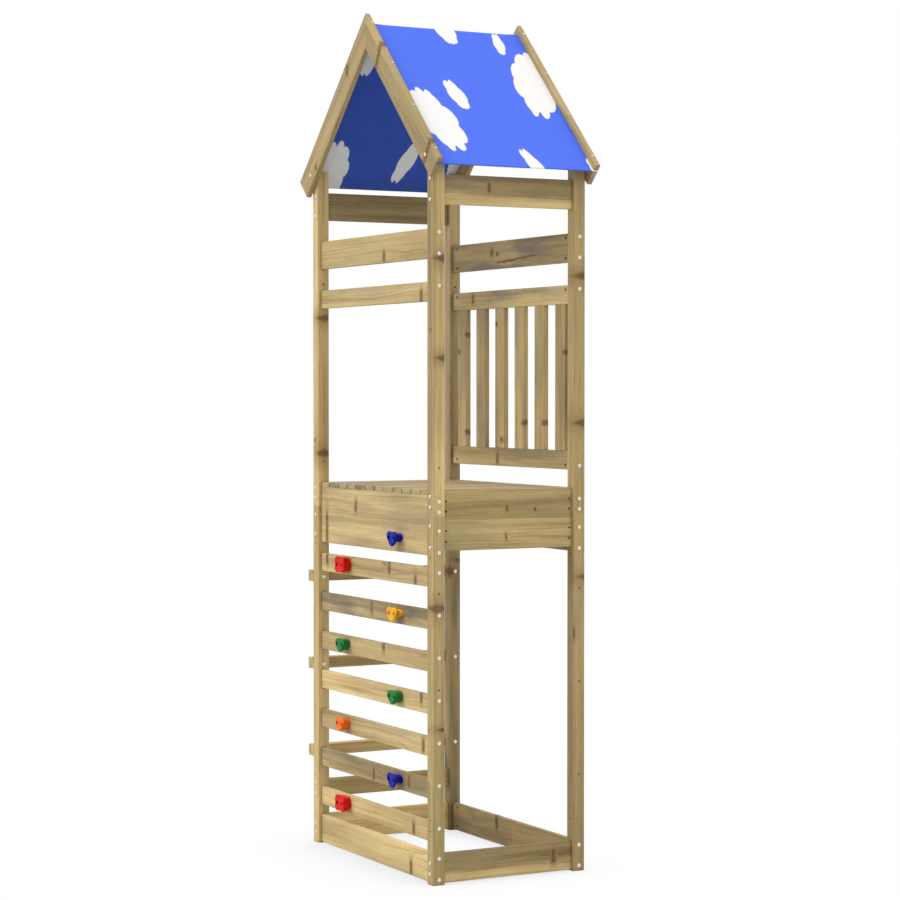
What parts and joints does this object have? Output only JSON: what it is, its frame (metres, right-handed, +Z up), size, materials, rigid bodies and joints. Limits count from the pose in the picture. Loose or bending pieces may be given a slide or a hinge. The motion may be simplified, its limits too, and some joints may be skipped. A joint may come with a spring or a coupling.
{
  "type": "climbing frame",
  "caption": "Tall wooden climbing frame: square-post tower with a plank climbing wall and holds, ladder rungs, slatted deck, balustrade and a gable roof under a printed tarpaulin.",
  "frame": {"origin": "on the ground, in the middle of the tower", "axes": "+Z up; X along the climbing wall, with the ladder at -X; the climbing wall faces -Y"},
  "size_m": [1.0684, 0.62, 2.9124],
  "materials": {
    "post_timber": "green-brown impregnated pine, planed, matt",
    "board_timber": "green-brown impregnated pine, planed, matt",
    "slat_timber": "green-brown impregnated pine, planed, matt",
    "rung_timber": "green-brown impregnated pine, planed, matt",
    "roof_timber": "green-brown impregnated pine, planed, matt",
    "tarp": "blue woven tarpaulin printed with plain white clouds",
    "hold_blue": "moulded plastic with a low sheen",
    "hold_red": "moulded plastic with a low sheen",
    "hold_yellow": "moulded plastic with a low sheen",
    "hold_green": "moulded plastic with a low sheen",
    "hold_orange": "moulded plastic with a low sheen",
    "zinc_steel": "bright zinc plated"
  },
  "bodies": {
    "root": {"post_front_left_lower": "post_timber", "post_front_left_upper": "post_timber", "post_front_right_lower": "post_timber", "post_front_right_upper": "post_timber", "post_back_left_lower": "post_timber", "post_back_left_upper": "post_timber", "post_back_right_lower": "post_timber", "post_back_right_upper": "post_timber", "front_wide_rail": "board_timber", "front_narrow_rail": "board_timber", "front_deck_panel": "board_timber", "front_bottom_board": "board_timber", "climbing_plank_1": "board_timber", "climbing_plank_2": "board_timber", "climbing_plank_3": "board_timber", "climbing_plank_4": "board_timber", "climbing_plank_5": "board_timber", "climbing_plank_6": "board_timber", "climbing_plank_7": "board_timber", "right_top_board": "board_timber", "right_deck_panel": "board_timber", "right_bottom_board": "board_timber", "back_wide_rail": "board_timber", "balustrade_top_rail": "board_timber", "balustrade_lower_rail": "board_timber", "balustrade_slats": "slat_timber", "back_deck_panel": "board_timber", "back_bottom_board": "board_timber", "left_top_board": "board_timber", "left_deck_panel": "board_timber", "left_kick_board": "board_timber", "left_bottom_board": "board_timber", "ladder_rung_1": "rung_timber", "ladder_rung_2": "rung_timber", "ladder_rung_3": "rung_timber", "deck_slats": "slat_timber", "rafter_front_left": "roof_timber", "rafter_front_right": "roof_timber", "rafter_back_left": "roof_timber", "rafter_back_right": "roof_timber", "batten_front_left": "roof_timber", "batten_front_right": "roof_timber", "batten_back_left": "roof_timber", "batten_back_right": "roof_timber", "roof_tarp": "tarp", "climbing_hold_1": "hold_blue", "climbing_hold_2": "hold_red", "climbing_hold_3": "hold_yellow", "climbing_hold_4": "hold_green", "climbing_hold_5": "hold_green", "climbing_hold_6": "hold_orange", "climbing_hold_7": "hold_blue", "climbing_hold_8": "hold_red", "rail_screws": "zinc_steel", "barrel_nuts": "zinc_steel", "side_board_screws": "zinc_steel", "rung_screws": "zinc_steel", "slat_screws": "zinc_steel", "roof_screws": "zinc_steel", "hold_bolts": "zinc_steel"}
  },
  "joints": []
}
